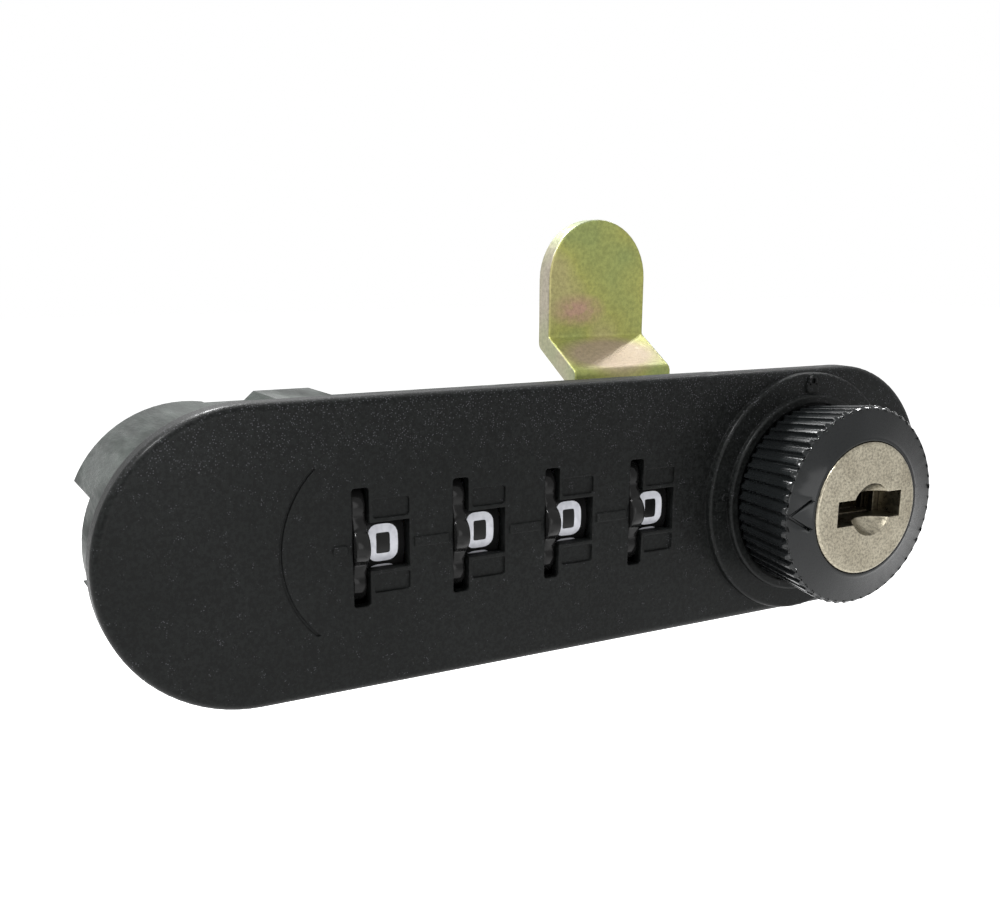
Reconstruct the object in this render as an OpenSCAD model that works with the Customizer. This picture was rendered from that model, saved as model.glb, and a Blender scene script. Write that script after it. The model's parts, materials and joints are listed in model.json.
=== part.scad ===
// Combination cam lock: an oblong face with four number wheels, and a knurled knob
// with a master key that swings the cam behind the door.
// Drawn face up, then stood up: the front looks along -Y, +Z is up, and the rim of
// the face that seats on the door lies in the plane Y = 0.

/* [Face plate] */
// Half the height of the oblong face
plate_r = 15; // [14:0.5:17]
// From the middle of the face to the centre of each round end
plate_end_x = 37.3; // [36:0.5:41]
// Thickness of the face over the door
plate_t = 2.5; // [2.2:0.1:3.2]
// Rounding of the front edge
plate_edge = 0.9; // [0.4:0.1:1.2]
// Wall left in front of the number wheels
dial_wall = 1.3; // [1:0.1:1.6]
// From the middle of the face to the knob's axis
knob_x = 31.3; // [30.5:0.1:33]

/* [Rear case] */
// Outer radius of the case, which passes through the door
case_r = 13; // [12.6:0.1:13.6]
// Wall of the case
case_wall = 1.8; // [1.4:0.1:2]
// Depth of the case behind the face
case_depth = 16; // [15.8:0.1:18]
// Depth of the round drum at the end away from the knob
drum_depth = 18.2; // [17:0.1:20]
// From the middle of the face to the drum's axis
drum_x = 38.3; // [37.5:0.1:39]
// Thickness of the rear cover
cover_t = 1.5; // [1.2:0.1:2]
// Half the width of the notch in the drum
notch_half_w = 5.4; // [4:0.1:7]
// Depth of drum wall left in the notch
notch_depth = 8.6; // [6:0.1:12]
// Outer radius of the barrel that guides the spindle
barrel_r = 9.5; // [8.5:0.1:10]
// From the door seat to the end of the barrel
barrel_end = 34.5; // [26:0.5:40]
// Tapping radius of the fixing hole in the drum
fixing_hole_r = 1.65; // [1.25:0.05:2]
// Depth of the fixing hole
fixing_hole_depth = 12; // [8:0.5:14]

/* [Number wheels] */
// Distance from one wheel to the next
wheel_pitch = 11.1; // [10.8:0.1:11.4]
// Left edge of the first finger slot
slot_x = -27.5; // [-28:0.1:-27]
// Width of a finger slot
slot_w = 1.85; // [1.7:0.05:2.1]
// Half the height of a finger slot
slot_half_h = 6.1; // [6:0.05:6.3]
// From the left edge of a slot to the right edge of its number window
window_w = 6.2; // [5.8:0.1:6.4]
// Half the height of a number window
window_half_h = 2.47; // [2.2:0.05:2.5]
// Tip radius of the finger rim
rim_r = 8.7; // [8.5:0.05:8.8]
// How far a finger lobe stands out of the face
rim_proud = 0.8; // [0.6:0.05:1]
// Depth of the hollows between lobes
rim_wave = 0.8; // [0.5:0.05:1.1]
// Radius of a lobe
lobe_r = 2; // [1.6:0.1:2.4]
// Radius of the number drum
drum_face_r = 6.85; // [6.4:0.05:6.9]
// Numbers on a wheel
numbers = 10; // [10:1:10]
// Radius of a code ring
code_ring_r = 5.2; // [4.8:0.1:5.6]
// Radius of the shaft that carries the wheels
shaft_r = 2; // [1.6:0.05:2.4]

/* [Knob] */
// Radius over the teeth at the front
knob_r = 11.7; // [11.4:0.1:12.2]
// Radius over the teeth at the back
knob_back_r = 10.7; // [10.3:0.1:11.3]
// Teeth round the knob
knob_teeth = 52; // [40:2:60]
// Radius of the groove between two teeth
groove_r = 0.42; // [0.3:0.02:0.5]
// Height of the toothed rim over the face
knob_h = 9.9; // [9:0.1:10.4]
// Height of the key plug's face over the face plate
plug_h = 10.9; // [10.7:0.1:11.6]
// Radius of the key plug's face
plug_face_r = 7.7; // [7.2:0.1:7.9]
// Radius of the key plug's body
plug_body_r = 6.4; // [6.2:0.1:6.6]
// Radius of the knob's shank in the face
shank_r = 8.2; // [7.8:0.1:8.6]
// Radius of the round base under the knob
base_r = 14.6; // [14:0.1:14.8]
// Height of the round base over the face
base_h = 0.9; // [0.6:0.1:1.2]

/* [Cam] */
// Width of the cam
cam_w = 17.5; // [16:0.1:19]
// Thickness of the cam's sheet
cam_t = 3; // [2:0.1:3.5]
// From the axis to the tip of the cam
cam_reach = 33.4; // [30:0.1:45]
// How far the cam's leaf is set back
cam_jog = 7.5; // [4:0.1:10]
// From the axis to the first bend
cam_bend = 10.8; // [10:0.1:13]
// Height taken by the sloping part
cam_slope = 4.8; // [3:0.1:6]
// Radius of the spindle
spindle_r = 4; // [3.5:0.1:4.5]

/* [Hidden] */
$fn = 64;

// Clearances
run_gap = 0.05;
slide_gap = 0.15;
seat_gap = 0.1;
eps = 0.01;

// Wheel layout, measured in face coordinates
wheel_z = plate_t + rim_proud - rim_r;
wheel_count = 4;
rim_w = slot_w - 2 * slide_gap;
drum_w = window_w - slot_w + 2 * slide_gap;
wheel_hub_r = shaft_r + 1.3;
ring_w = 1.6;
ring_x = slot_w + drum_w + 0.35;
dial_left = slot_x - 1.6;
dial_right = slot_x + wheel_count * wheel_pitch + 0.4;
dial_half_h = rim_r + 0.6;
dial_back_z = plate_t - dial_wall;
rib_t = 1.6;
rib_left = dial_left - rib_t;
rib_right = dial_right;
case_inner_r = case_r - case_wall;
cover_z = -case_depth;

// Knob stack, from the face back to the barrel
base_z = plate_t + base_h;
knob_foot_z = base_z + 0.3;
knob_rim_z = plate_t + knob_h;
plug_z = plate_t + plug_h;
plug_face_t = 1.6;
shank_end_z = -9.6;
head_t = 1.6;
head_r = shank_r - 0.2;
flange_t = 1.6;
flange_r = case_inner_r - 0.6;
spigot_r = barrel_r - 1.5;
boss_r = shank_r + 2;
boss_z = -6;

// Cover screws stand in posts of the case
post_r = 2;
screw_r = 1.05;
screw_head_r = 2;
screw_head_h = 1.1;
screw_len = 8;
screw_slot_w = 0.5;
post_y = case_inner_r - post_r + 0.1;
post_left_x = rib_left - post_r - 0.2;
post_right_x = rib_right + rib_t + post_r + 0.6;
post_places = [
    [post_left_x, post_y], [post_left_x, -post_y], [post_right_x, post_y], [post_right_x, -post_y]];

// The fence bar rocks on its own pin, above and behind the wheels
fence_pin_r = 1;
fence_reach = rim_r + fence_pin_r + 1.05;
fence_z = cover_z + cover_t + fence_pin_r + 0.5;
fence_y = sqrt(fence_reach * fence_reach - (wheel_z - fence_z) * (wheel_z - fence_z));
fence_angle = atan2(wheel_z - fence_z, fence_y);

module stand_up() {
    rotate([90, 0, 0]) children();
}

// Section of a slab with its upper edge rounded
module edge_section(r, t, e) {
    square([r - e, t]);
    square([r, t - e]);
    translate([r - e, t - e]) circle(e);
}

// A slab with round ends from x = a to x = b and a rounded upper edge
module oblong_slab(a, b, r, t, e) {
    for (x = [a, b])
        translate([x, 0, 0]) rotate_extrude($fn = 96) edge_section(r, t, e);
    translate([a, 0, 0]) rotate([90, 0, 90]) linear_extrude(b - a) {
        edge_section(r, t, e);
        mirror([1, 0]) edge_section(r, t, e);
    }
}

// A plain prism with round ends, from height z0 to z1
module oblong(a, b, r, z0, z1) {
    translate([0, 0, z0]) linear_extrude(z1 - z0) {
        translate([a, 0]) circle(r, $fn = 96);
        translate([b, 0]) circle(r, $fn = 96);
        translate([a, -r]) square([b - a, 2 * r]);
    }
}

module rod(r, z0, z1) {
    translate([0, 0, z0]) cylinder(r = r, h = z1 - z0);
}

// A box given by its corner and its size
module block(corner, size) {
    translate(corner) cube(size);
}

module rounded_rect(w, h, r) {
    translate([r, 0]) square([w - 2 * r, h]);
    translate([0, r]) square([w, h - 2 * r]);
    for (x = [r, w - r], y = [r, h - r])
        translate([x, y]) circle(r, $fn = 24);
}

// One finger slot with its number window, cut right through the face
module dial_window() {
    corner_r = 0.35;
    translate([0, -slot_half_h, plate_t - dial_wall - eps])
        linear_extrude(dial_wall + 2 * eps) rounded_rect(slot_w, 2 * slot_half_h, corner_r);
    block([slot_w - eps, -window_half_h, plate_t - dial_wall - eps],
        [window_w - slot_w, 2 * window_half_h, dial_wall + 2 * eps]);
}

// The shallow panels above and below a number window
module dial_panels() {
    panel_depth = 0.3;
    panel_gap = 0.4;
    panel_top = 4.83;
    corner_r = 0.3;
    panel_w = window_w - slot_w - panel_gap;
    panel_h = panel_top - window_half_h - panel_gap;
    for (s = [-1, 1])
        translate([slot_w + panel_gap, s * (panel_top - panel_h / 2), plate_t - panel_depth])
            linear_extrude(panel_depth + eps)
                translate([0, -panel_h / 2]) rounded_rect(panel_w, panel_h, corner_r);
}

// The raised line that the numbers are read against
module index_line() {
    line_h = 1;
    line_rise = 0.2;
    gap = 0.5;
    line_start = slot_x - 2.1;
    translate([line_start, -line_h / 2, plate_t - eps]) {
        linear_extrude(line_rise + eps) rounded_rect(slot_x - gap - line_start, line_h, 0.45);
    }
    for (i = [1 : wheel_count - 1])
        block([slot_x + (i - 1) * wheel_pitch + window_w + gap, -line_h / 2, plate_t - eps],
            [wheel_pitch - window_w - 2 * gap, line_h, line_rise + eps]);
}

// The curved groove beside the first wheel
module face_arc() {
    arc_r = 11.6;
    arc_x = slot_x + 4.2;
    arc_w = 0.3;
    arc_half_h = 8.4;
    translate([arc_x, 0, plate_t - 0.2]) intersection() {
        linear_extrude(1) difference() {
            circle(arc_r + arc_w / 2, $fn = 128);
            circle(arc_r - arc_w / 2, $fn = 128);
        }
        block([-arc_r - 1, -arc_half_h, 0], [arc_r, 2 * arc_half_h, 1]);
    }
}

// Low lug on top of the case, with sloping ends
lug_x = -33.6;
lug_w = 8.2;
lug_h = 1.3;
module top_lug() {
    lug_front = -4;
    lug_len = 9;
    root_y = case_r - 0.5;
    top_y = case_r + lug_h;
    translate([0, 0, lug_front - lug_len]) linear_extrude(lug_len) polygon([
        [lug_x, root_y], [lug_x, case_r], [lug_x + 1.5, top_y],
        [lug_x + lug_w - 0.6, top_y], [lug_x + lug_w, top_y - 0.8], [lug_x + lug_w, root_y]]);
}

// Walls of the case, open at the back
drum_deep_w = 2;
module case_walls() {
    notch_w = 8.4;
    drum_left = -drum_x - case_r - 1;
    difference() {
        union() {
            oblong(-drum_x, knob_x, case_r, -case_depth, eps);
            intersection() {
                translate([-drum_x, 0, 0]) rod(case_r, -drum_depth, eps);
                block([drum_left, -case_r - 1, -drum_depth - 1],
                    [case_r + 1 + drum_deep_w, 2 * case_r + 2, drum_depth + 2]);
            }
            top_lug();
        }
        oblong(-drum_x, knob_x, case_inner_r, -drum_depth - 1, 0);
        block([drum_left, -notch_half_w, -drum_depth - 1],
            [1 + notch_w, 2 * notch_half_w, drum_depth + 1 - notch_depth]);
    }
}

// Ribs that carry the wheel shaft and the pin of the fence bar
module shaft_ribs() {
    for (x = [rib_left, rib_right])
        difference() {
            block([x, -case_inner_r - eps, cover_z + cover_t + seat_gap],
                [rib_t, 2 * case_inner_r + 2 * eps, case_depth - cover_t - seat_gap + eps]);
            translate([x - 1, 0, wheel_z]) rotate([0, 90, 0])
                cylinder(r = shaft_r + run_gap, h = rib_t + 2);
            translate([x - 1, fence_y, fence_z]) rotate([0, 90, 0])
                cylinder(r = fence_pin_r + run_gap, h = rib_t + 2);
        }
}

module screw_posts() {
    hole_end_z = -5;
    for (p = post_places)
        translate([p[0], p[1], 0]) difference() {
            rod(post_r, cover_z + cover_t, eps);
            rod(screw_r, cover_z + cover_t - 1, hole_end_z);
        }
}

// Post with the fixing hole, tied to the first rib by a web
drum_post_r = 4.2;
module drum_post() {
    post_end_z = -drum_depth + 0.4;
    web_t = 1.6;
    web_end_z = cover_z + cover_t + 1.5;
    translate([-drum_x, 0, 0]) difference() {
        union() {
            rod(drum_post_r, post_end_z, eps);
            block([0, -web_t / 2, web_end_z], [drum_x + rib_left + 0.1, web_t, eps - web_end_z]);
        }
        rod(fixing_hole_r, -drum_depth - 1, post_end_z + fixing_hole_depth);
    }
}

// Round base with the raised collar that the knob turns in
module knob_base() {
    base_edge = 0.35;
    collar_w = 1;
    collar_h = 0.7;
    collar_in_r = knob_back_r + 0.35;
    translate([knob_x, 0, 0]) {
        translate([0, 0, plate_t - eps]) rotate_extrude($fn = 96)
            edge_section(base_r, base_h + eps, base_edge);
        difference() {
            translate([0, 0, base_z - eps]) rotate_extrude($fn = 96)
                edge_section(collar_in_r + collar_w, collar_h, 0.3);
            rod(collar_in_r, base_z - 1, base_z + 1);
        }
    }
}

module face_housing() {
    color([0.09, 0.1, 0.1]) stand_up() difference() {
        union() {
            difference() {
                union() {
                    oblong_slab(-plate_end_x, plate_end_x, plate_r, plate_t, plate_edge);
                    index_line();
                    case_walls();
                }
                block([dial_left, -dial_half_h, cover_z + cover_t],
                    [dial_right - dial_left, 2 * dial_half_h, dial_back_z - cover_z - cover_t]);
            }
            shaft_ribs();
            screw_posts();
            drum_post();
            knob_base();
            translate([knob_x, 0, 0]) rod(boss_r, boss_z, eps);
        }
        for (i = [0 : wheel_count - 1])
            translate([slot_x + i * wheel_pitch, 0, 0]) {
                dial_window();
                dial_panels();
            }
        face_arc();
        translate([knob_x, 0, 0]) rod(shank_r + run_gap, boss_z - 1, base_z + 1);
    }
}

// Rear cover, let into the walls of the case
cover_left = post_left_x - post_r;
module rear_cover() {
    r = case_inner_r - seat_gap;
    color([0.16, 0.17, 0.17]) stand_up() difference() {
        intersection() {
            oblong(-drum_x, knob_x, r, cover_z, cover_z + cover_t - seat_gap);
            block([cover_left, -case_r, cover_z - 1],
                [knob_x + case_r - cover_left, 2 * case_r, case_depth]);
        }
        translate([knob_x, 0, 0]) rod(spigot_r + run_gap, cover_z - 1, 0);
        translate([-drum_x, 0, 0]) rod(drum_post_r + slide_gap, cover_z - 1, 0);
        for (p = post_places)
            translate([p[0], p[1], 0]) rod(screw_r + slide_gap, cover_z - 1, 0);
    }
}

module cover_screws() {
    slot_depth = screw_slot_w;
    color([0.7, 0.7, 0.68]) stand_up() for (p = post_places)
        translate([p[0], p[1], 0]) difference() {
            union() {
                rod(screw_r - run_gap, cover_z, cover_z + screw_len);
                rod(screw_head_r, cover_z - screw_head_h, cover_z);
            }
            for (a = [0, 90])
                rotate(a) block([-screw_head_r - 1, -screw_slot_w / 2, cover_z - screw_head_h - 1],
                    [2 * screw_head_r + 2, screw_slot_w, slot_depth + 1]);
        }
}

// Barrel with a flange on the rear cover, and a spigot spread inside it
module barrel() {
    lip_t = 0.6;
    inner_z = cover_z + cover_t;
    color([0.2, 0.21, 0.21]) stand_up() translate([knob_x, 0, 0]) difference() {
        union() {
            rod(flange_r, cover_z - flange_t, cover_z);
            rod(barrel_r, -barrel_end, cover_z - flange_t + eps);
            rod(spigot_r, cover_z - eps, inner_z + eps);
            rod(spigot_r + 0.6, inner_z, inner_z + lip_t);
        }
        rod(spindle_r + run_gap, -barrel_end - 1, 0);
    }
}

shaft_end_gap = 0.2;
module wheel_shaft() {
    color([0.75, 0.75, 0.72]) stand_up()
        translate([rib_left + shaft_end_gap, 0, wheel_z]) rotate([0, 90, 0])
            cylinder(r = shaft_r, h = rib_right - rib_left + rib_t - 2 * shaft_end_gap);
}

// Leaf spring with a finger that clicks on each wheel
module detent_spring() {
    strip_y = -case_inner_r + 0.3;
    strip_t = 0.4;
    strip_w = 3.6;
    strip_z = cover_z + cover_t + 0.4;
    finger_w = 2.4;
    finger_len = 10.5;
    color([0.78, 0.76, 0.66]) stand_up() {
        block([dial_left + 0.3, strip_y, strip_z], [dial_right - dial_left - 0.6, strip_t, strip_w]);
        for (i = [0 : wheel_count - 1])
            block([slot_x + i * wheel_pitch + slot_w + 1, strip_y, strip_z + 0.6],
                [finger_w, strip_t, finger_len]);
    }
}

// Number wheel: a wavy finger rim and a plain drum for the numbers
module number_wheel(i) {
    wheel_x = slot_x + i * wheel_pitch;
    hub_w = wheel_pitch - 2 * slide_gap;
    step = 360 / numbers;
    color([0.12, 0.12, 0.12]) stand_up() translate([wheel_x + slide_gap, 0, wheel_z])
        rotate([0, 90, 0]) difference() {
            union() {
                linear_extrude(rim_w) {
                    circle(rim_r - rim_wave, $fn = 96);
                    for (k = [0 : numbers - 1])
                        rotate(k * step) translate([rim_r - lobe_r, 0]) circle(lobe_r, $fn = 32);
                }
                cylinder(r = drum_face_r, h = rim_w + drum_w - slide_gap);
                cylinder(r = wheel_hub_r, h = hub_w);
            }
            translate([0, 0, -1]) cylinder(r = shaft_r + run_gap, h = wheel_pitch + 2);
        }
}

// Code ring: a brass disc with one gate, clamped on the hub of its wheel
module code_ring(i) {
    gate_w = 1.8;
    gate_depth = 1.3;
    press_gap = 0.02;
    color([0.75, 0.6, 0.3]) stand_up()
        translate([slot_x + i * wheel_pitch + ring_x, 0, wheel_z]) rotate([-fence_angle, 0, 0])
            rotate([0, 90, 0]) difference() {
                cylinder(r = code_ring_r, h = ring_w);
                translate([0, 0, -1]) cylinder(r = wheel_hub_r + press_gap, h = ring_w + 2);
                block([-gate_w / 2, code_ring_r - gate_depth, -1],
                    [gate_w, gate_depth + 1, ring_w + 2]);
            }
}

// Fence bar: a pin with a finger over the gate of each code ring
module fence_bar() {
    finger_t = 1.2;
    finger_w = ring_w - 0.4;
    tip_r = code_ring_r + 0.25;
    color([0.66, 0.66, 0.62]) stand_up() translate([0, 0, wheel_z]) rotate([-fence_angle, 0, 0]) {
        translate([rib_left + shaft_end_gap, fence_reach, 0]) rotate([0, 90, 0])
            cylinder(r = fence_pin_r, h = rib_right - rib_left + rib_t - 2 * shaft_end_gap);
        for (i = [0 : wheel_count - 1])
            block([slot_x + i * wheel_pitch + ring_x + 0.2, tip_r, -finger_t / 2],
                [finger_w, fence_reach - tip_r, finger_t]);
    }
}

// Outline of the knob with its shank
module knob_section() {
    face_r = plug_face_r + 0.9;
    polygon([
        [0, shank_end_z], [shank_r, shank_end_z], [shank_r, knob_foot_z],
        [knob_back_r, knob_foot_z], [knob_r, knob_rim_z - 0.4], [knob_r - 0.4, knob_rim_z + 0.05],
        [face_r, plug_z - 0.5], [plug_face_r + 0.4, plug_z - 0.2], [0, plug_z - 0.2]]);
}

// Grooves that run up the flared side between the teeth
module knob_grooves() {
    side_h = knob_rim_z - knob_foot_z;
    flare = atan2(knob_r - knob_back_r, side_h);
    for (k = [0 : knob_teeth - 1])
        rotate(k * 360 / knob_teeth)
            translate([knob_back_r + 0.05, 0, knob_foot_z]) rotate([0, flare, 0])
                translate([0, 0, -1]) cylinder(r = groove_r, h = side_h + 3, $fn = 16);
}

module knob() {
    color([0.1, 0.1, 0.1]) stand_up() translate([knob_x, 0, 0]) difference() {
        rotate_extrude($fn = 128) knob_section();
        knob_grooves();
        rod(plug_face_r + run_gap, plug_z - plug_face_t - seat_gap, plug_z + 1);
        rod(plug_body_r + run_gap, shank_end_z - 1, plug_z);
        rod(clip_r + slide_gap, shank_end_z - 1, plug_tail_z);
        knob_arrow();
    }
}

// Open arrow cut in the knob's face, pointing at the side it is turned to
module knob_arrow() {
    arm = 3.3;
    arm_w = 0.28;
    tip_x = -knob_r + 0.7;
    for (s = [-1, 1])
        translate([tip_x, 0, 0]) rotate([0, 0, s * 31])
            block([0, -arm_w / 2, knob_rim_z], [arm, arm_w, 2]);
}

// Spindle: a head keyed into the knob's shank, a rod, and a squared end
cam_square = 5.4;
cam_front = barrel_end + 0.3;
cam_screw_r = 1.6;
cam_screw_len = 9;
module spindle() {
    color([0.7, 0.7, 0.7]) stand_up() translate([knob_x, 0, 0]) difference() {
        union() {
            rod(head_r, shank_end_z - head_t - run_gap, shank_end_z - run_gap);
            rod(spindle_r, -cam_front, shank_end_z - 0.5);
            translate([0, 0, -cam_front - cam_t / 2])
                cube([cam_square, cam_square, cam_t], center = true);
        }
        rod(cam_screw_r + run_gap, -cam_front - cam_t - 1, -cam_front - cam_t + cam_screw_len);
    }
}

// Cam: a flat hub, a sloping jog and a leaf with a round tip
module cam_profile() {
    b0 = cam_bend;
    b1 = cam_bend + cam_slope;
    z0 = -cam_front;
    z1 = z0 - cam_jog;
    k = cam_t * tan(atan2(cam_jog, cam_slope) / 2);
    polygon([
        [-cam_w / 2, z0], [b0, z0], [b1, z1], [cam_reach, z1],
        [cam_reach, z1 - cam_t], [b1 - k, z1 - cam_t], [b0 - k, z0 - cam_t], [-cam_w / 2, z0 - cam_t]]);
}

module cam() {
    color([0.72, 0.68, 0.32]) stand_up() translate([knob_x, 0, 0]) difference() {
        intersection() {
            rotate([90, 0, 90]) translate([0, 0, -cam_w / 2]) linear_extrude(cam_w) cam_profile();
            translate([0, 0, -cam_front - cam_jog - cam_t - 1])
                linear_extrude(cam_jog + cam_t + 2) {
                    circle(cam_w / 2);
                    translate([-cam_w / 2, 0]) square([cam_w, cam_reach - cam_w / 2]);
                    translate([0, cam_reach - cam_w / 2]) circle(cam_w / 2);
                }
        }
        translate([0, 0, -cam_front - cam_t / 2])
            cube([cam_square + 2 * run_gap, cam_square + 2 * run_gap, cam_t + 1], center = true);
    }
}

cam_back = cam_front + cam_t;
washer_t = 1;
module cam_washer() {
    color([0.72, 0.72, 0.7]) stand_up() translate([knob_x, 0, 0]) difference() {
        rod(spindle_r + 1.4, -cam_back - washer_t, -cam_back);
        rod(cam_screw_r + 0.25, -cam_back - washer_t - 1, 0);
    }
}

module cam_screw() {
    z0 = -cam_back - washer_t;
    top_r = 2 * cam_screw_r + 0.2;
    top_h = 2;
    cross_w = 0.8;
    cross_h = 0.9;
    color([0.74, 0.74, 0.72]) stand_up() translate([knob_x, 0, 0]) difference() {
        union() {
            rod(cam_screw_r, z0, z0 + cam_screw_len - 0.1);
            rod(top_r, z0 - top_h, z0);
        }
        for (a = [0, 90])
            rotate(a) block([-top_r - 1, -cross_w / 2, z0 - top_h - 1],
                [2 * top_r + 2, cross_w, cross_h + 1]);
    }
}

// Key plug with a stepped keyway and a round dish
plug_tail_z = shank_end_z + 2.4;
tail_r = 3;
clip_r = plug_body_r + 0.6;
wafer_count = 5;
wafer_t = 0.7;
wafer_pitch = 2.2;
wafer_first_z = plug_z - 4;
wafer_half_h = 3;
key_left = -4.5;
key_step_x = -1.6;
key_right = 5.4;
module keyway() {
    depth = 16;
    translate([0, 0, plug_z - depth]) linear_extrude(depth + 1) {
        translate([key_left, -1.8]) square([key_step_x - key_left + 0.1, 3]);
        translate([key_step_x, -1.4]) square([key_right - key_step_x, 3.1]);
    }
}

module wafer_slots() {
    for (k = [0 : wafer_count - 1])
        block([-plug_body_r - 1, -wafer_half_h - run_gap, wafer_first_z - k * wafer_pitch - run_gap],
            [2 * plug_body_r + 2, 2 * wafer_half_h + 2 * run_gap, wafer_t + 2 * run_gap]);
}

module key_plug() {
    dish_r = 3.1;
    dish_depth = 1.6;
    dish_x = 0.8;
    dish_y = -0.2;
    dish_ball_r = sqrt(dish_r * dish_r + dish_depth * dish_depth);
    color([0.78, 0.77, 0.72]) stand_up() translate([knob_x, 0, 0]) difference() {
        union() {
            rod(plug_body_r, plug_tail_z, plug_z - plug_face_t);
            rotate_extrude($fn = 96) translate([0, plug_z - plug_face_t - eps])
                edge_section(plug_face_r, plug_face_t + eps, 0.3);
            rod(tail_r, plug_tail_z - 1.6, plug_tail_z + eps);
        }
        keyway();
        wafer_slots();
        translate([dish_x, dish_y, plug_z + dish_depth]) sphere(dish_ball_r, $fn = 48);
    }
}

// Wafers in the plug, each with its window a little to one side
module key_wafers() {
    shifts = [0, 0.5, -0.3, 0.4, 0.1];
    window_left = key_left + 0.3;
    window_right = key_right - 0.9;
    window_half_h = 1.95;
    color([0.74, 0.6, 0.32]) stand_up() translate([knob_x, 0, 0])
        for (k = [0 : wafer_count - 1])
            translate([0, 0, wafer_first_z - k * wafer_pitch]) linear_extrude(wafer_t) difference() {
                intersection() {
                    circle(plug_body_r - run_gap);
                    translate([-plug_body_r, -wafer_half_h])
                        square([2 * plug_body_r, 2 * wafer_half_h]);
                }
                translate([window_left + shifts[k], -window_half_h])
                    square([window_right - window_left, 2 * window_half_h]);
            }
}

// Clip on the plug's tail that keeps it in the knob
module plug_clip() {
    clip_t = 0.6;
    slot_half = 1.4;
    tail_gap = 0.02;
    color([0.7, 0.7, 0.66]) stand_up() translate([knob_x, 0, 0]) difference() {
        rod(clip_r, plug_tail_z - clip_t - run_gap, plug_tail_z - run_gap);
        rod(tail_r + tail_gap, plug_tail_z - clip_t - 1, plug_tail_z + 1);
        block([-slot_half, 0, plug_tail_z - clip_t - 1], [2 * slot_half, clip_r + 1, clip_t + 2]);
    }
}

face_housing();
rear_cover();
cover_screws();
barrel();
wheel_shaft();
detent_spring();
number_wheel(0);  // number_wheel_1
number_wheel(1);  // number_wheel_2
number_wheel(2);  // number_wheel_3
number_wheel(3);  // number_wheel_4
code_ring(0);  // code_ring_1
code_ring(1);  // code_ring_2
code_ring(2);  // code_ring_3
code_ring(3);  // code_ring_4
fence_bar();
knob();
spindle();
cam();
cam_washer();
cam_screw();
key_plug();
key_wafers();
plug_clip();
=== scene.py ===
# Locker lock: an oblong black face with four number wheels and a knurled key knob.
# Every length is in metres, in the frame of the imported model: the front looks along -Y.
import json
import math
import bpy
import bmesh
from mathutils import Matrix, Vector


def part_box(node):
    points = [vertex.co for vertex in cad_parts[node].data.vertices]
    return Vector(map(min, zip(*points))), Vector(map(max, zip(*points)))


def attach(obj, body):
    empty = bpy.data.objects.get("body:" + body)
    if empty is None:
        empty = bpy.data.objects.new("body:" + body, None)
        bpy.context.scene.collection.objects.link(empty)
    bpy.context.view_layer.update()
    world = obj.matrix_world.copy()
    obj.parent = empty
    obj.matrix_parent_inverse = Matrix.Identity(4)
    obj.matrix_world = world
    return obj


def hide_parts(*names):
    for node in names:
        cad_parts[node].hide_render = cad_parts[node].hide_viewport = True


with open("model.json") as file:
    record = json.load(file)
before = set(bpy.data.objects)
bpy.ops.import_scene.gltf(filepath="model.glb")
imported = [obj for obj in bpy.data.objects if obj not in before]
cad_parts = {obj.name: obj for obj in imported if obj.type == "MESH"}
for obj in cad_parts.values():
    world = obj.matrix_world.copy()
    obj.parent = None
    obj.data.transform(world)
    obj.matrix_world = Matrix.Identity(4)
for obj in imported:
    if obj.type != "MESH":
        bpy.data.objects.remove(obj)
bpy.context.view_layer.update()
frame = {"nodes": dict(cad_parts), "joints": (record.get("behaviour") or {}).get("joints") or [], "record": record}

MM = 0.001


def box(node):
    """Lowest and highest corners of a node as vectors."""
    low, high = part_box(node)
    return Vector(low), Vector(high)


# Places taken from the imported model
PLUG_LOW, PLUG_HIGH = box("key_plug")
KNOB_X = (PLUG_LOW.x + PLUG_HIGH.x) / 2
WHEEL_NODES = [f"number_wheel_{i}" for i in range(1, 5)]

# Sizes that the record doesn't carry: the front of the knob's base, and where the case begins
BASE_FRONT = -3.4 * MM
PLATE_BACK = 0.05 * MM

# Points and faces of a copied node that count as one
SAME_PLACE = 0.001 * MM
SAME_PLANE = math.radians(1.0)

# Rounding of the edges of the copies, and the angle in degrees that an edge needs for it
WHEEL_ROUND = 0.22 * MM
WHEEL_EDGE_ANGLE = 28.0
KNOB_ROUND = 0.11 * MM
KNOB_EDGE_ANGLE = 30.0


# Materials
def new_material(name):
    mat = bpy.data.materials.new(name)
    mat.use_nodes = True
    return mat, mat.node_tree.nodes, mat.node_tree.links


def coords(nodes):
    return nodes.new("ShaderNodeTexCoord").outputs["Object"]


def noise(nodes, links, vector, scale, detail=2.0, rough=0.5):
    node = nodes.new("ShaderNodeTexNoise")
    node.inputs["Scale"].default_value = scale
    node.inputs["Detail"].default_value = detail
    node.inputs["Roughness"].default_value = rough
    links.new(vector, node.inputs["Vector"])
    return node.outputs["Fac"]


def ramp(nodes, links, value, stops):
    """Colour ramp from (position, colour) pairs."""
    node = nodes.new("ShaderNodeValToRGB")
    parts = node.color_ramp.elements
    while len(parts) < len(stops):
        parts.new(0.5)
    for part, (place, colour) in zip(parts, stops):
        part.position = place
        part.color = (*colour, 1.0)
    links.new(value, node.inputs["Fac"])
    return node.outputs["Color"]


def grey(level):
    return (level, level, level)


def mix_colour(nodes, links, factor, first, second, blend="MIX"):
    node = nodes.new("ShaderNodeMix")
    node.data_type = "RGBA"
    node.blend_type = blend
    values = {"Factor": factor, "A": first, "B": second}
    for key, value in values.items():
        socket = node.inputs[key]
        if isinstance(value, bpy.types.NodeSocket):
            links.new(value, socket)
        elif isinstance(value, tuple):
            socket.default_value = (*value, 1.0)
        else:
            socket.default_value = value
    return node.outputs["Result"]


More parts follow.
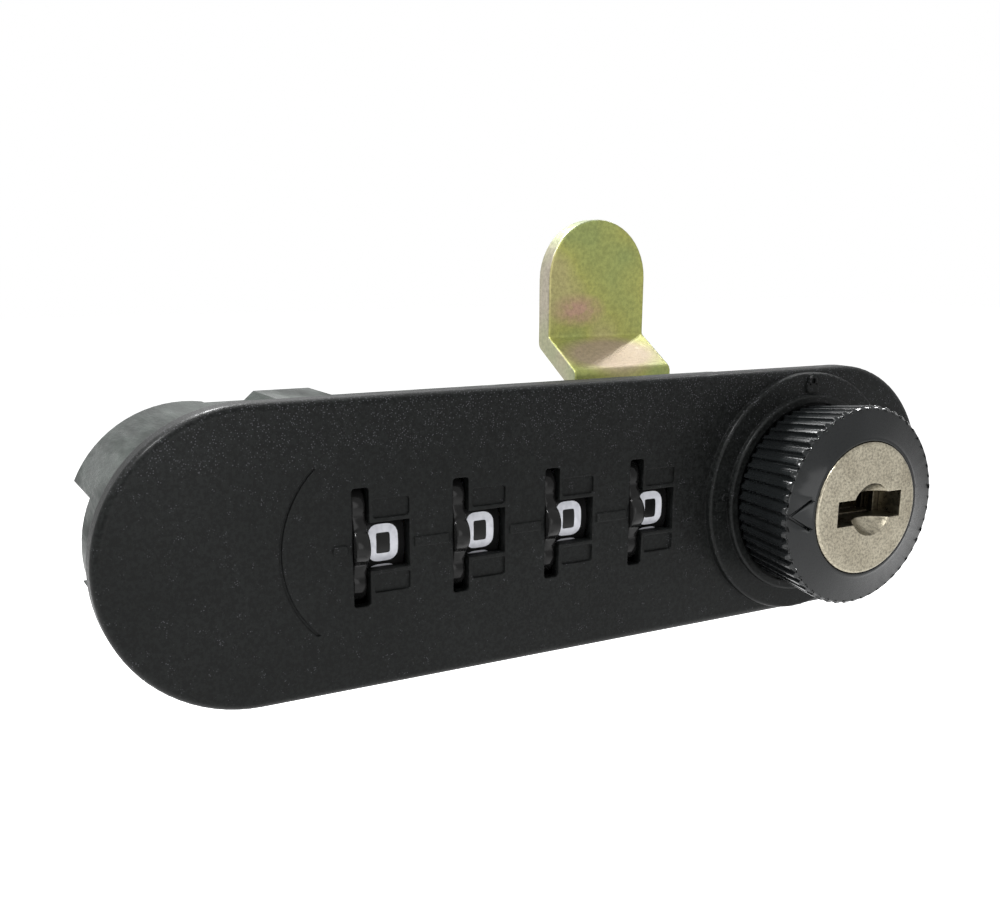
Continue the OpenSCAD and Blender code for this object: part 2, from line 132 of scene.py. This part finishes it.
def worn_normal(nodes, links, height, strength, distance, edge):
    """Fine bump over edges that are rounded in the shading."""
    rounded = nodes.new("ShaderNodeBevel")
    rounded.samples = 6
    rounded.inputs["Radius"].default_value = edge
    node = nodes.new("ShaderNodeBump")
    node.inputs["Strength"].default_value = strength
    node.inputs["Distance"].default_value = distance
    links.new(height, node.inputs["Height"])
    links.new(rounded.outputs["Normal"], node.inputs["Normal"])
    return node.outputs["Normal"]


# Flecks in the plate's coating: size, colour, and the heights between which they grow denser; their gathering
# towards the top is painted light
FLECK_SCALE = 4200.0
FLECK_COLOUR = (0.065, 0.065, 0.072)
PAINTED_TOP_LIGHT_RISE = (6 * MM, 15 * MM)


def plate_coating():
    """Fine textured black coating with metallic flecks, made densest by the upper edge as painted light on the top
    of the plate.
    """
    mat, nodes, links = new_material("plate_coating")
    shader = nodes["Principled BSDF"]
    place = coords(nodes)
    cloud = noise(nodes, links, place, 60.0, 3.0)
    base = ramp(nodes, links, cloud, [
        (0.3, (0.0042, 0.0048, 0.0046)), (0.7, (0.0068, 0.0075, 0.0073))])
    fine = noise(nodes, links, place, 3000.0, 2.0, 0.7)
    fine_tone = ramp(nodes, links, fine, [(0.42, grey(0.6)), (0.6, grey(1.5))])
    base = mix_colour(nodes, links, 1.0, base, fine_tone, "MULTIPLY")
    fleck = nodes.new("ShaderNodeTexVoronoi")
    fleck.inputs["Scale"].default_value = FLECK_SCALE
    links.new(place, fleck.inputs["Vector"])
    spots = ramp(nodes, links, fleck.outputs["Distance"], [(0.12, grey(1.0)), (0.32, grey(0.0))])
    height = nodes.new("ShaderNodeSeparateXYZ")
    links.new(place, height.inputs[0])
    # Flecks grow denser towards the top of the plate: painted light that makes the top lighter
    painted_top_light = nodes.new("ShaderNodeMapRange")
    painted_top_light.inputs["From Min"].default_value = PAINTED_TOP_LIGHT_RISE[0]
    painted_top_light.inputs["From Max"].default_value = PAINTED_TOP_LIGHT_RISE[1]
    painted_top_light.inputs["To Min"].default_value = 0.0
    painted_top_light.inputs["To Max"].default_value = 0.26
    links.new(height.outputs["Z"], painted_top_light.inputs["Value"])
    spread = nodes.new("ShaderNodeMath")
    spread.operation = "ADD"
    links.new(noise(nodes, links, place, 900.0, 2.0), spread.inputs[0])
    links.new(painted_top_light.outputs["Result"], spread.inputs[1])
    sparse = ramp(nodes, links, spread.outputs[0], [(0.56, grey(0.0)), (0.7, grey(1.0))])
    spots = mix_colour(nodes, links, 1.0, spots, sparse, "MULTIPLY")
    links.new(mix_colour(nodes, links, spots, base, FLECK_COLOUR), shader.inputs["Base Color"])
    rough = ramp(nodes, links, fine, [(0.3, grey(0.4)), (0.7, grey(0.58))])
    links.new(rough, shader.inputs["Roughness"])
    shader.inputs["Specular IOR Level"].default_value = 0.08
    shader.inputs["Coat Weight"].default_value = 0.06
    shader.inputs["Coat Roughness"].default_value = 0.22
    links.new(worn_normal(nodes, links, fine, 0.45, 0.00006, 0.00022), shader.inputs["Normal"])
    return mat


def case_coating(name, spread):
    """Black coating streaked and clouded along the walls, the streaks and clouds in its colour a painted
    reflection; spread says how clouded it is.
    """
    mat, nodes, links = new_material(name)
    shader = nodes["Principled BSDF"]
    place = coords(nodes)
    stretch = nodes.new("ShaderNodeMapping")
    stretch.inputs["Scale"].default_value = (1.0, 0.22, 1.0)
    links.new(place, stretch.inputs["Vector"])
    reflection_and_relief_streaks = noise(nodes, links, stretch.outputs["Vector"], 420.0, 4.0, 0.6)
    cloud = noise(nodes, links, stretch.outputs["Vector"], 160.0, 4.0, 0.6)
    # Streaks and clouds in the base colour are a painted reflection on the walls; the same streaks give the bump
    base = ramp(nodes, links, reflection_and_relief_streaks, [
        (0.35, (0.0062, 0.0084, 0.0072)), (0.65, (0.0135, 0.018, 0.0152))])
    tone = ramp(nodes, links, cloud, [
        (0.36, grey(1 - 0.6 * spread)), (0.62, grey(1 + 0.9 * spread))])
    rough = ramp(nodes, links, cloud, [
        (0.36, grey(0.42 + 0.2 * spread)), (0.62, grey(0.42 - 0.2 * spread))])
    links.new(mix_colour(nodes, links, 1.0, base, tone, "MULTIPLY"), shader.inputs["Base Color"])
    links.new(rough, shader.inputs["Roughness"])
    shader.inputs["Specular IOR Level"].default_value = 0.08
    relief = 0.3 + 0.3 * spread
    links.new(worn_normal(nodes, links, reflection_and_relief_streaks, relief, 0.0005, 0.0002), shader.inputs["Normal"])
    return mat


def knob_black():
    mat, nodes, links = new_material("knob_black")
    shader = nodes["Principled BSDF"]
    place = coords(nodes)
    grain = noise(nodes, links, place, 2600.0, 3.0, 0.6)
    cloud = noise(nodes, links, place, 150.0)
    base = ramp(nodes, links, cloud, [
        (0.3, (0.006, 0.0068, 0.0072)), (0.7, (0.01, 0.0113, 0.0118))])
    links.new(base, shader.inputs["Base Color"])
    rough = ramp(nodes, links, grain, [(0.3, grey(0.24)), (0.7, grey(0.36))])
    links.new(rough, shader.inputs["Roughness"])
    shader.inputs["Specular IOR Level"].default_value = 0.1
    shader.inputs["Coat Weight"].default_value = 0.3
    shader.inputs["Coat Roughness"].default_value = 0.12
    links.new(worn_normal(nodes, links, grain, 0.2, 0.00004, 0.00012), shader.inputs["Normal"])
    return mat


def gloss_black():
    mat, nodes, links = new_material("wheel_gloss")
    shader = nodes["Principled BSDF"]
    place = coords(nodes)
    wave = noise(nodes, links, place, 400.0)
    base = ramp(nodes, links, wave, [(0.3, grey(0.006)), (0.7, grey(0.011))])
    rough = ramp(nodes, links, wave, [(0.3, grey(0.1)), (0.7, grey(0.2))])
    links.new(base, shader.inputs["Base Color"])
    links.new(rough, shader.inputs["Roughness"])
    shader.inputs["Specular IOR Level"].default_value = 0.15
    links.new(worn_normal(nodes, links, wave, 0.1, 0.0001, 0.00025), shader.inputs["Normal"])
    return mat


def number_white():
    mat, nodes, links = new_material("number_white")
    shader = nodes["Principled BSDF"]
    place = coords(nodes)
    wear = noise(nodes, links, place, 1500.0, 3.0)
    base = ramp(nodes, links, wear, [(0.3, (0.56, 0.57, 0.62)), (0.6, (0.68, 0.69, 0.74))])
    links.new(base, shader.inputs["Base Color"])
    shader.inputs["Roughness"].default_value = 0.35
    return mat


def metal(name, dark, light, rough_low, rough_high, grain_scale):
    """Bare or plated metal with a fine blasted grain and a slow change of tone."""
    mat, nodes, links = new_material(name)
    shader = nodes["Principled BSDF"]
    shader.inputs["Metallic"].default_value = 1.0
    place = coords(nodes)
    tone = noise(nodes, links, place, 220.0, 4.0, 0.6)
    grain = noise(nodes, links, place, grain_scale, 3.0, 0.7)
    speck = ramp(nodes, links, grain, [(0.38, grey(0.62)), (0.6, grey(1.12))])
    base = ramp(nodes, links, tone, [(0.3, dark), (0.7, light)])
    rough = ramp(nodes, links, grain, [(0.3, grey(rough_low)), (0.7, grey(rough_high))])
    links.new(mix_colour(nodes, links, 1.0, base, speck, "MULTIPLY"), shader.inputs["Base Color"])
    links.new(rough, shader.inputs["Roughness"])
    links.new(worn_normal(nodes, links, grain, 0.15, 0.00005, 0.00015), shader.inputs["Normal"])
    return mat


def near(nodes, links, vector, centre, radii):
    """1 at a place, falling to 0 at the radii of an ellipsoid round it."""
    shift = nodes.new("ShaderNodeVectorMath")
    shift.operation = "SUBTRACT"
    shift.inputs[1].default_value = centre
    links.new(vector, shift.inputs[0])
    scale = nodes.new("ShaderNodeVectorMath")
    scale.operation = "DIVIDE"
    scale.inputs[1].default_value = radii
    links.new(shift.outputs["Vector"], scale.inputs[0])
    length = nodes.new("ShaderNodeVectorMath")
    length.operation = "LENGTH"
    links.new(scale.outputs["Vector"], length.inputs[0])
    return ramp(nodes, links, length.outputs["Value"], [(0.0, grey(1.0)), (1.0, grey(0.0))])


# Pink blooms on the cam: centre, radii and colour of the one on the leaf and the one on the jog
LEAF_BLOOM = ((KNOB_X - 3.5 * MM, 42.3 * MM, 20.1 * MM), (5.4 * MM, 6 * MM, 2.8 * MM))
LEAF_PINK = (0.37, 0.235, 0.165)
JOG_BLOOM = ((KNOB_X, 38 * MM, 13.8 * MM), (12.5 * MM, 6 * MM, 6 * MM))
JOG_PINK = (0.31, 0.235, 0.18)


def yellow_zinc(name, tones):
    """Yellow chromate over zinc: clouds of three tones, and a pink bloom by each bend."""
    mat, nodes, links = new_material(name)
    shader = nodes["Principled BSDF"]
    shader.inputs["Metallic"].default_value = 0.6
    place = coords(nodes)
    cloud = noise(nodes, links, place, 75.0, 2.0, 0.45)
    base = ramp(nodes, links, cloud, list(zip((0.36, 0.5, 0.64), tones)))
    bloom = near(nodes, links, place, *LEAF_BLOOM)
    ragged = noise(nodes, links, place, 900.0, 3.0)
    ragged = ramp(nodes, links, ragged, [(0.3, grey(0.8)), (0.6, grey(1.5))])
    bloom = mix_colour(nodes, links, 1.0, bloom, ragged, "MULTIPLY")
    base = mix_colour(nodes, links, bloom, base, LEAF_PINK)
    jog_bloom = near(nodes, links, place, *JOG_BLOOM)
    jog_bloom = ramp(nodes, links, jog_bloom, [(0.2, grey(0.0)), (0.5, grey(0.85))])
    base = mix_colour(nodes, links, jog_bloom, base, JOG_PINK)
    mottled = noise(nodes, links, place, 1900.0, 3.0, 0.7)
    tone = ramp(nodes, links, mottled, [(0.35, grey(0.82)), (0.65, grey(1.16))])
    base = mix_colour(nodes, links, 1.0, base, tone, "MULTIPLY")
    rough = ramp(nodes, links, mottled, [(0.3, grey(0.34)), (0.7, grey(0.48))])
    links.new(base, shader.inputs["Base Color"])
    links.new(rough, shader.inputs["Roughness"])
    links.new(worn_normal(nodes, links, mottled, 0.2, 0.00008, 0.0003), shader.inputs["Normal"])
    return mat


CAM_TONES = [(0.23, 0.265, 0.085), (0.3, 0.305, 0.085), (0.34, 0.31, 0.13)]
CAM_EDGE_TONES = [(0.21, 0.24, 0.13), (0.27, 0.27, 0.17), (0.31, 0.28, 0.22)]

MATS = {
    "plate": plate_coating(),
    # The housing walls get the strongest painted reflection in their colour, the rear cover and barrel a weaker
    # one
    "case": case_coating("case_coating", 1.0),
    "cover": case_coating("cover_coating", 0.3),
    "knob": knob_black(),
    "wheel": gloss_black(),
    "number": number_white(),
    "nickel": metal("nickel", (0.25, 0.225, 0.17), (0.37, 0.34, 0.265), 0.26, 0.42, 3200.0),
    "wafer": metal("dull_bronze", (0.05, 0.044, 0.034), (0.13, 0.115, 0.085), 0.3, 0.45, 2400.0),
    "cam": yellow_zinc("yellow_zinc", CAM_TONES),
    "cam_edge": yellow_zinc("sheared_zinc", CAM_EDGE_TONES),
    "steel": metal("zinc_steel", (0.38, 0.38, 0.38), (0.5, 0.5, 0.48), 0.25, 0.4, 2400.0),
    "spring": metal("spring_steel", (0.3, 0.29, 0.27), (0.42, 0.41, 0.38), 0.2, 0.32, 2400.0),
    "brass": metal("brass", (0.4, 0.29, 0.11), (0.55, 0.41, 0.19), 0.22, 0.35, 2400.0),
}

NODE_MATS = {
    "face_housing": "plate", "rear_cover": "cover", "barrel": "cover", "cover_screws": "steel",
    "wheel_shaft": "steel", "detent_spring": "spring", "fence_bar": "steel", "knob": "knob",
    "spindle": "steel", "cam": "cam", "cam_washer": "steel", "cam_screw": "steel",
    "key_plug": "nickel", "key_wafers": "wafer", "plug_clip": "spring"}


def node_material(name):
    if name.startswith("number_wheel"):
        return MATS["wheel"]
    if name.startswith("code_ring"):
        return MATS["brass"]
    return MATS[NODE_MATS[name]]


for name, obj in frame["nodes"].items():
    for slot in obj.material_slots:
        slot.material = node_material(name)
    if not obj.material_slots:
        obj.data.materials.append(node_material(name))


# Pieces and finishes
def body_with(node):
    """The body that a node rides on."""
    bodies = frame["record"]["behaviour"]["bodies"]
    return next(body for body, nodes in bodies.items() if node in nodes)


def new_mesh(name, verts, faces, mats):
    """A mesh whose faces all look outward."""
    data = bpy.data.meshes.new(name)
    data.from_pydata(verts, [], faces)
    for mat in mats:
        data.materials.append(mat)
    shape = bmesh.new()
    shape.from_mesh(data)
    bmesh.ops.recalc_face_normals(shape, faces=shape.faces)
    shape.to_mesh(data)
    shape.free()
    return data


def add_piece(name, verts, faces, mat, body):
    obj = bpy.data.objects.new(name, new_mesh(name, verts, faces, [mat]))
    bpy.context.collection.objects.link(obj)
    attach(obj, body)


def round_edges(obj, width, segments, angle):
    """Round the edges sharper than an angle in degrees."""
    bevel = obj.modifiers.new("rounded", "BEVEL")
    bevel.width = width
    bevel.segments = segments
    bevel.limit_method = "ANGLE"
    bevel.angle_limit = math.radians(angle)
    bevel.use_clamp_overlap = False
    bevel.harden_normals = True


def stand_for(node, data):
    """Show a new mesh in place of a node, on the node's body."""
    obj = bpy.data.objects.new(node + "_finish", data)
    bpy.context.collection.objects.link(obj)
    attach(obj, body_with(node))
    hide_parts(node)
    return obj


def soft_copy(node, width, angle):
    """Show a copy of a node with its sharp edges rounded."""
    mesh = bmesh.new()
    mesh.from_mesh(frame["nodes"][node].data)
    bmesh.ops.remove_doubles(mesh, verts=mesh.verts, dist=SAME_PLACE)
    bmesh.ops.dissolve_limit(mesh, angle_limit=SAME_PLANE, verts=mesh.verts, edges=mesh.edges)
    data = bpy.data.meshes.new(node + "_soft")
    mesh.to_mesh(data)
    mesh.free()
    data.materials.append(node_material(node))
    data.shade_smooth()
    round_edges(stand_for(node, data), width, 3, angle)


def housing_finish():
    """Show the housing with its plate textured and its case clouded with painted reflection."""
    data = frame["nodes"]["face_housing"].data.copy()
    data.materials.clear()
    data.materials.append(MATS["plate"])
    data.materials.append(MATS["case"])
    for face in data.polygons:
        face.material_index = int(face.center.y > PLATE_BACK)
    stand_for("face_housing", data)


# Cam: stamped sheet with its bends and edges rounded
CAM_R = 8.75 * MM
CAM_T = 3 * MM
CAM_FRONT = 34.8 * MM
CAM_JOG = 7.5 * MM
CAM_BENDS = (11.7 * MM, 16.2 * MM)
CAM_TIP = 33.4 * MM
CAM_BEND_INNER = 0.6 * MM
CAM_BEND_OUTER = 1.3 * MM
CAM_ROUND = 0.4 * MM
CAM_EDGE_ANGLE = 40.0
TIP_STEPS = 24


def bend_points(start, corner, end, steps):
    """Points of a curve that leaves start for a corner and turns to end."""
    points = []
    for k in range(steps + 1):
        t = k / steps
        points.append(start * (1 - t) ** 2 + corner * 2 * t * (1 - t) + end * t ** 2)
    return points


def arc_corner(before, corner, after, radius):
    """Points of an arc that rounds a corner of the cam's side view."""
    to_before = (before - corner).normalized()
    to_after = (after - corner).normalized()
    inset = radius / math.tan(to_before.angle(to_after) / 2)
    return bend_points(corner + to_before * inset, corner, corner + to_after * inset, 6)


def cam_side(across, drop, low_radius, high_radius):
    """Side view of one face of the cam as (across, along) points; drop lowers both bends."""
    low = Vector((across, 0))
    first = Vector((across, CAM_BENDS[0] - drop))
    second = Vector((across + CAM_JOG, CAM_BENDS[1] - drop))
    high = Vector((across + CAM_JOG, CAM_TIP - CAM_R))
    return ([low] + arc_corner(low, first, second, low_radius)
            + arc_corner(first, second, high, high_radius) + [high])


def round_tip(verts, corners, y, centre_z, sense):
    """Add the half round at one end of the cam; gives its two broad faces and its edge faces."""
    left_front, right_front, right_rear, left_rear = corners
    front_loop = [right_front]
    rear_loop = [right_rear]
    for k in range(1, TIP_STEPS):
        angle = math.pi * k / TIP_STEPS
        x = KNOB_X + CAM_R * math.cos(angle)
        z = centre_z + sense * CAM_R * math.sin(angle)
        front_loop.append(len(verts))
        rear_loop.append(len(verts) + 1)
        verts += [(x, y, z), (x, y + CAM_T, z)]
    front_loop.append(left_front)
    rear_loop.append(left_rear)
    edge_faces = [(front_loop[k], front_loop[k + 1], rear_loop[k + 1], rear_loop[k])
                  for k in range(TIP_STEPS)]
    return [tuple(front_loop), tuple(rear_loop)], edge_faces


def cam_finish():
    """Show the cam with rounded bends, its sheared edge in a tone of its own."""
    slope = CAM_BENDS[1] - CAM_BENDS[0]
    back_drop = CAM_T * math.tan(math.atan2(CAM_JOG, slope) / 2)
    front_side = cam_side(CAM_FRONT, 0, CAM_BEND_OUTER, CAM_BEND_INNER)
    rear_side = cam_side(CAM_FRONT + CAM_T, back_drop, CAM_BEND_INNER, CAM_BEND_OUTER)
    verts, faces, edge_faces = [], [], []
    for front, rear in zip(front_side, rear_side):
        for (y, z), side in ((front, -1), (front, 1), (rear, 1), (rear, -1)):
            verts.append((KNOB_X + side * CAM_R, y, z))
    top = len(verts) - 4
    for a in range(0, top, 4):
        faces += [(a, a + 1, a + 5, a + 4), (a + 2, a + 3, a + 7, a + 6)]
        edge_faces += [(a + 1, a + 2, a + 6, a + 5), (a + 3, a, a + 4, a + 7)]
    ends = (((0, 1, 2, 3), CAM_FRONT, 0, -1),
            ((top, top + 1, top + 2, top + 3), CAM_FRONT + CAM_JOG, CAM_TIP - CAM_R, 1))
    for corners, y, centre_z, sense in ends:
        broad, edge = round_tip(verts, corners, y, centre_z, sense)
        faces += broad
        edge_faces += edge
    data = new_mesh("cam_sheet", verts, faces + edge_faces, [MATS["cam"], MATS["cam_edge"]])
    for i, face in enumerate(data.polygons):
        face.material_index = int(i >= len(faces))
    data.shade_smooth()
    round_edges(stand_for("cam", data), CAM_ROUND, 4, CAM_EDGE_ANGLE)


# Strokes: numbers and signs drawn as raised ribbons
def round_corners(points, closed, radius):
    """A path with an arc at each corner."""
    result = []
    count = len(points)
    for i, corner in enumerate(points):
        if not closed and i in (0, count - 1):
            result.append(corner)
            continue
        ahead = points[(i + 1) % count] - corner
        before = (points[i - 1] - corner).normalized()
        after = ahead.normalized()
        inset = min(radius / math.tan(before.angle(after) / 2), 0.45 * ahead.length)
        result += bend_points(corner + before * inset, corner, corner + after * inset, 5)
    return result


def subdivide(path, closed, longest):
    """The same path with no step longer than a length, so that it follows a round surface."""
    result = []
    count = len(path)
    for i, point in enumerate(path):
        result.append(point)
        if not closed and i == count - 1:
            break
        ahead = path[(i + 1) % count]
        pieces = math.ceil((ahead - point).length / longest)
        result += [point.lerp(ahead, k / pieces) for k in range(1, pieces)]
    return result


def stroke_edges(path, closed, widths):
    """Points on the two edges of a stroke along a path."""
    edges = []
    count = len(path)
    for i, (point, width) in enumerate(zip(path, widths)):
        ahead = path[(i + 1) % count] if closed or i < count - 1 else point
        behind = path[i - 1] if closed or i > 0 else point
        side = (ahead - behind).normalized().orthogonal() * width / 2
        edges.append((point + side, point - side))
    return edges


def stroke_mesh(strokes, place):
    """Closed ribbons along (path, closed, widths) strokes.

    place(point, level) puts a point of the drawing on the part: level 0 under its skin, 1 over it.
    """
    verts, faces = [], []
    for path, closed, widths in strokes:
        rows = stroke_edges(path, closed, widths)
        first = len(verts)
        for one, other in rows:
            verts += [place(one, 0), place(one, 1), place(other, 1), place(other, 0)]
        spans = len(rows) if closed else len(rows) - 1
        for i in range(spans):
            a = first + 4 * i
            b = first + 4 * ((i + 1) % len(rows))
            faces += [(a + k, a + (k + 1) % 4, b + (k + 1) % 4, b + k) for k in range(4)]
        if not closed:
            end = first + 4 * (len(rows) - 1)
            faces += [(first + 3, first + 2, first + 1, first), (end, end + 1, end + 2, end + 3)]
    return verts, faces


# Numbers on the drums: their size, stroke, corners, height over the drum, and place along it
NUMBER_W = 3.25 * MM
NUMBER_H = 3.9 * MM
STROKE = 0.87 * MM
CORNER = 0.75 * MM
INK = 0.03 * MM
NUMBER_FROM_SLOT = 3.7 * MM
SLOT_GAP = 0.15 * MM
DRUM_R = 6.85 * MM
DRUM_STEP = 0.25 * MM


def number_paths(digit):
    """Centre lines of a squared number: (points, closed) pairs."""
    box_path = [(-1, 1), (1, 1), (1, -1), (-1, -1)]
    paths = {
        0: [(box_path, True)],
        1: [([(-0.6, 0.6), (0.1, 1), (0.1, -1)], False)],
        2: [([(-1, 1), (1, 1), (1, 0), (-1, 0), (-1, -1), (1, -1)], False)],
        3: [([(-1, 1), (1, 1), (1, -1), (-1, -1)], False), ([(-0.5, 0), (1, 0)], False)],
        4: [([(-1, 1), (-1, -0.2), (1, -0.2)], False), ([(0.55, 1), (0.55, -1)], False)],
        5: [([(1, 1), (-1, 1), (-1, 0.1), (1, 0.1), (1, -1), (-1, -1)], False)],
        6: [([(1, 1), (-1, 1), (-1, -1), (1, -1), (1, 0), (-1, 0)], False)],
        7: [([(-1, 1), (1, 1), (0, -1)], False)],
        8: [(box_path, True), ([(-1, 0), (1, 0)], False)],
        9: [([(1, 0), (-1, 0), (-1, 1), (1, 1), (1, -1), (-1, -1)], False)],
    }
    half_w = (NUMBER_W - STROKE) / 2
    half_h = (NUMBER_H - STROKE) / 2
    return [([Vector((x * half_w, y * half_h)) for x, y in points], closed)
            for points, closed in paths[digit]]


def wheel_number(wheel_index, digit):
    """Add one white number on the drum of one wheel."""
    joint = next(j for j in frame["joints"] if j["name"] == f"wheel_{wheel_index + 1}_turn")
    axis_y, axis_z = joint["pos_m"][1], joint["pos_m"][2]
    wheel_low = box(WHEEL_NODES[wheel_index])[0]
    centre_x = wheel_low.x - SLOT_GAP + NUMBER_FROM_SLOT
    turn = digit * math.tau / 10
    strokes = []
    for points, closed in number_paths(digit):
        path = subdivide(round_corners(points, closed, CORNER), closed, DRUM_STEP)
        strokes.append((path, closed, [STROKE] * len(path)))

    def on_drum(point, level):
        radius = DRUM_R + INK * (1 if level else -1)
        angle = turn + point.y / DRUM_R
        y = axis_y - radius * math.cos(angle)
        z = axis_z + radius * math.sin(angle)
        return (centre_x + point.x, y, z)

    verts, faces = stroke_mesh(strokes, on_drum)
    add_piece(f"number_{wheel_index + 1}_{digit}", verts, faces, MATS["number"],
              f"wheel_{wheel_index + 1}")


# Raised padlock signs where the knob's arrow points: shut above, open at the left
SIGN_PROUD = 0.3 * MM
SIGN_SUNK = 0.02 * MM
SIGN_RING = 13.1 * MM
SIGN_BODY = (1.7 * MM, 1.1 * MM)
SIGN_STEP = 0.3 * MM
SIGN_BOW_R = 0.48 * MM
SIGN_BOW_W = 0.3 * MM
SIGN_LEGS_SHUT = (0.45 * MM, 0.45 * MM)
SIGN_LEGS_OPEN = (0.25 * MM, 0.1 * MM)


def padlock_sign(name, centre, is_open):
    """Add a padlock on the knob's base; an open one has its bow aside and its legs short."""
    body_w, body_h = SIGN_BODY
    body = subdivide([Vector((-body_w / 2, 0)), Vector((body_w / 2, 0))], False, SIGN_STEP)
    body_widths = [body_h] * len(body)
    body_widths[0] = body_widths[-1] = body_h - SIGN_STEP
    shift = Vector((SIGN_BOW_R * 1.5 if is_open else 0, body_h / 2 + SIGN_STEP))
    bow = [shift + Vector((math.cos(a), math.sin(a))) * SIGN_BOW_R
           for a in (math.pi * k / 12 for k in range(13))]
    left_leg, right_leg = SIGN_LEGS_OPEN if is_open else SIGN_LEGS_SHUT
    bow = [bow[0] - Vector((0, right_leg))] + bow + [bow[-1] - Vector((0, left_leg))]
    low_shift = Vector((0, -SIGN_STEP))
    strokes = [([p + low_shift for p in body], False, body_widths),
               ([p + low_shift for p in bow], False, [SIGN_BOW_W] * len(bow))]

    def on_base(point, level):
        front = BASE_FRONT - SIGN_PROUD * level + SIGN_SUNK * (1 - level)
        return (centre[0] + point.x, front, centre[1] + point.y)

    verts, faces = stroke_mesh(strokes, on_base)
    add_piece(name, verts, faces, MATS["plate"], "case")


housing_finish()
cam_finish()
for node in WHEEL_NODES:
    soft_copy(node, WHEEL_ROUND, WHEEL_EDGE_ANGLE)
soft_copy("knob", KNOB_ROUND, KNOB_EDGE_ANGLE)
for wheel_index in range(4):
    for digit in range(10):
        wheel_number(wheel_index, digit)
padlock_sign("sign_shut", (KNOB_X, SIGN_RING), False)
padlock_sign("sign_open", (KNOB_X - SIGN_RING, 0.0), True)

# Camera, worked out from the photograph; its focal length is in widths of the sensor
VIEW_PLACE = Vector((-66.33, -101.08, 28.15)) * MM
VIEW_AZIMUTH = math.radians(-28.26)
VIEW_ELEVATION = math.radians(14.11)
VIEW_FOCAL = 1.1036
VIEW_SHIFT = (0.0208, 0.0749)
SENSOR = 36.0

back = Vector((math.sin(VIEW_AZIMUTH) * math.cos(VIEW_ELEVATION),
               -math.cos(VIEW_AZIMUTH) * math.cos(VIEW_ELEVATION), math.sin(VIEW_ELEVATION)))
right = (-back).cross(Vector((0, 0, 1))).normalized()
up = right.cross(-back)
camera_data = bpy.data.cameras.new("camera")
camera_data.sensor_width = SENSOR
camera_data.lens = SENSOR * VIEW_FOCAL
camera_data.shift_x, camera_data.shift_y = VIEW_SHIFT
camera_data.clip_start = 5 * MM
camera = bpy.data.objects.new("camera", camera_data)
bpy.context.collection.objects.link(camera)
camera_turn = Matrix((right, up, back)).transposed()
camera.matrix_world = Matrix.Translation(VIEW_PLACE) @ camera_turn.to_4x4()
bpy.context.scene.camera = camera


# Light and floor
def area_light(name, place, target, size, power):
    data = bpy.data.lights.new(name, "AREA")
    data.shape = "DISK"
    data.size = size
    data.energy = power
    obj = bpy.data.objects.new(name, data)
    bpy.context.collection.objects.link(obj)
    obj.location = place
    obj.rotation_euler = (Vector(target) - Vector(place)).to_track_quat("-Z", "Y").to_euler()


area_light("top_back_right", (0.39, 0.22, 0.42), (0.031, 0.04, 0.012), 0.05, 0.5)
area_light("top_back", (-0.02, 0.33, 0.42), (0.02, 0.0, 0.0), 0.05, 4.5)
area_light("top_left", (-0.3, -0.05, 0.42), (0.0, 0.0, 0.0), 0.1, 3.0)
area_light("front_fill", (-0.05, -0.7, 0.05), (0.0, 0.0, 0.0), 0.5, 1.6)


def seen_rays(nodes, links):
    """1 for camera, glossy and transmission rays, 0 for the rest."""
    rays = nodes.new("ShaderNodeLightPath")
    seen = rays.outputs["Is Camera Ray"]
    for name in ("Is Glossy Ray", "Is Transmission Ray"):
        either = nodes.new("ShaderNodeMath")
        either.operation = "MAXIMUM"
        links.new(seen, either.inputs[0])
        links.new(rays.outputs[name], either.inputs[1])
        seen = either.outputs[0]
    return seen


def emission_by_ray(nodes, links, unseen, seen):
    """One strength for rays that see the light itself, and another for the rest."""
    strength = nodes.new("ShaderNodeMapRange")
    strength.inputs["To Min"].default_value = unseen
    strength.inputs["To Max"].default_value = seen
    links.new(seen_rays(nodes, links), strength.inputs["Value"])
    return strength.outputs["Result"]


WORLD_FILL = 0.4
WORLD_SEEN = 1.0
FLOOR_GLOW = 0.72
FLOOR_Z = -130 * MM
FLOOR_SIZE = 3000 * MM

world = bpy.data.worlds.new("world")
bpy.context.scene.world = world
world.use_nodes = True
world_nodes, world_links = world.node_tree.nodes, world.node_tree.links
backdrop = world_nodes["Background"]
backdrop.inputs["Color"].default_value = (1, 1, 1, 1)
world_links.new(emission_by_ray(world_nodes, world_links, WORLD_FILL, WORLD_SEEN),
                backdrop.inputs["Strength"])

floor_mat, floor_nodes, floor_links = new_material("floor_white")
floor_shader = floor_nodes["Principled BSDF"]
floor_shader.inputs["Base Color"].default_value = (0.86, 0.86, 0.86, 1)
floor_shader.inputs["Roughness"].default_value = 0.9
floor_shader.inputs["Specular IOR Level"].default_value = 0.0
floor_shader.inputs["Emission Color"].default_value = (1, 1, 1, 1)
floor_links.new(emission_by_ray(floor_nodes, floor_links, 0.0, FLOOR_GLOW),
                floor_shader.inputs["Emission Strength"])

floor_mesh = bpy.data.meshes.new("floor")
corners = [(x * FLOOR_SIZE, y * FLOOR_SIZE, FLOOR_Z)
           for x, y in ((-1, -1), (1, -1), (1, 1), (-1, 1))]
floor_mesh.from_pydata(corners, [], [(0, 1, 2, 3)])
floor_mesh.materials.append(floor_mat)
floor = bpy.data.objects.new("floor", floor_mesh)
bpy.context.collection.objects.link(floor)

bpy.context.scene.view_settings.view_transform = "Standard"
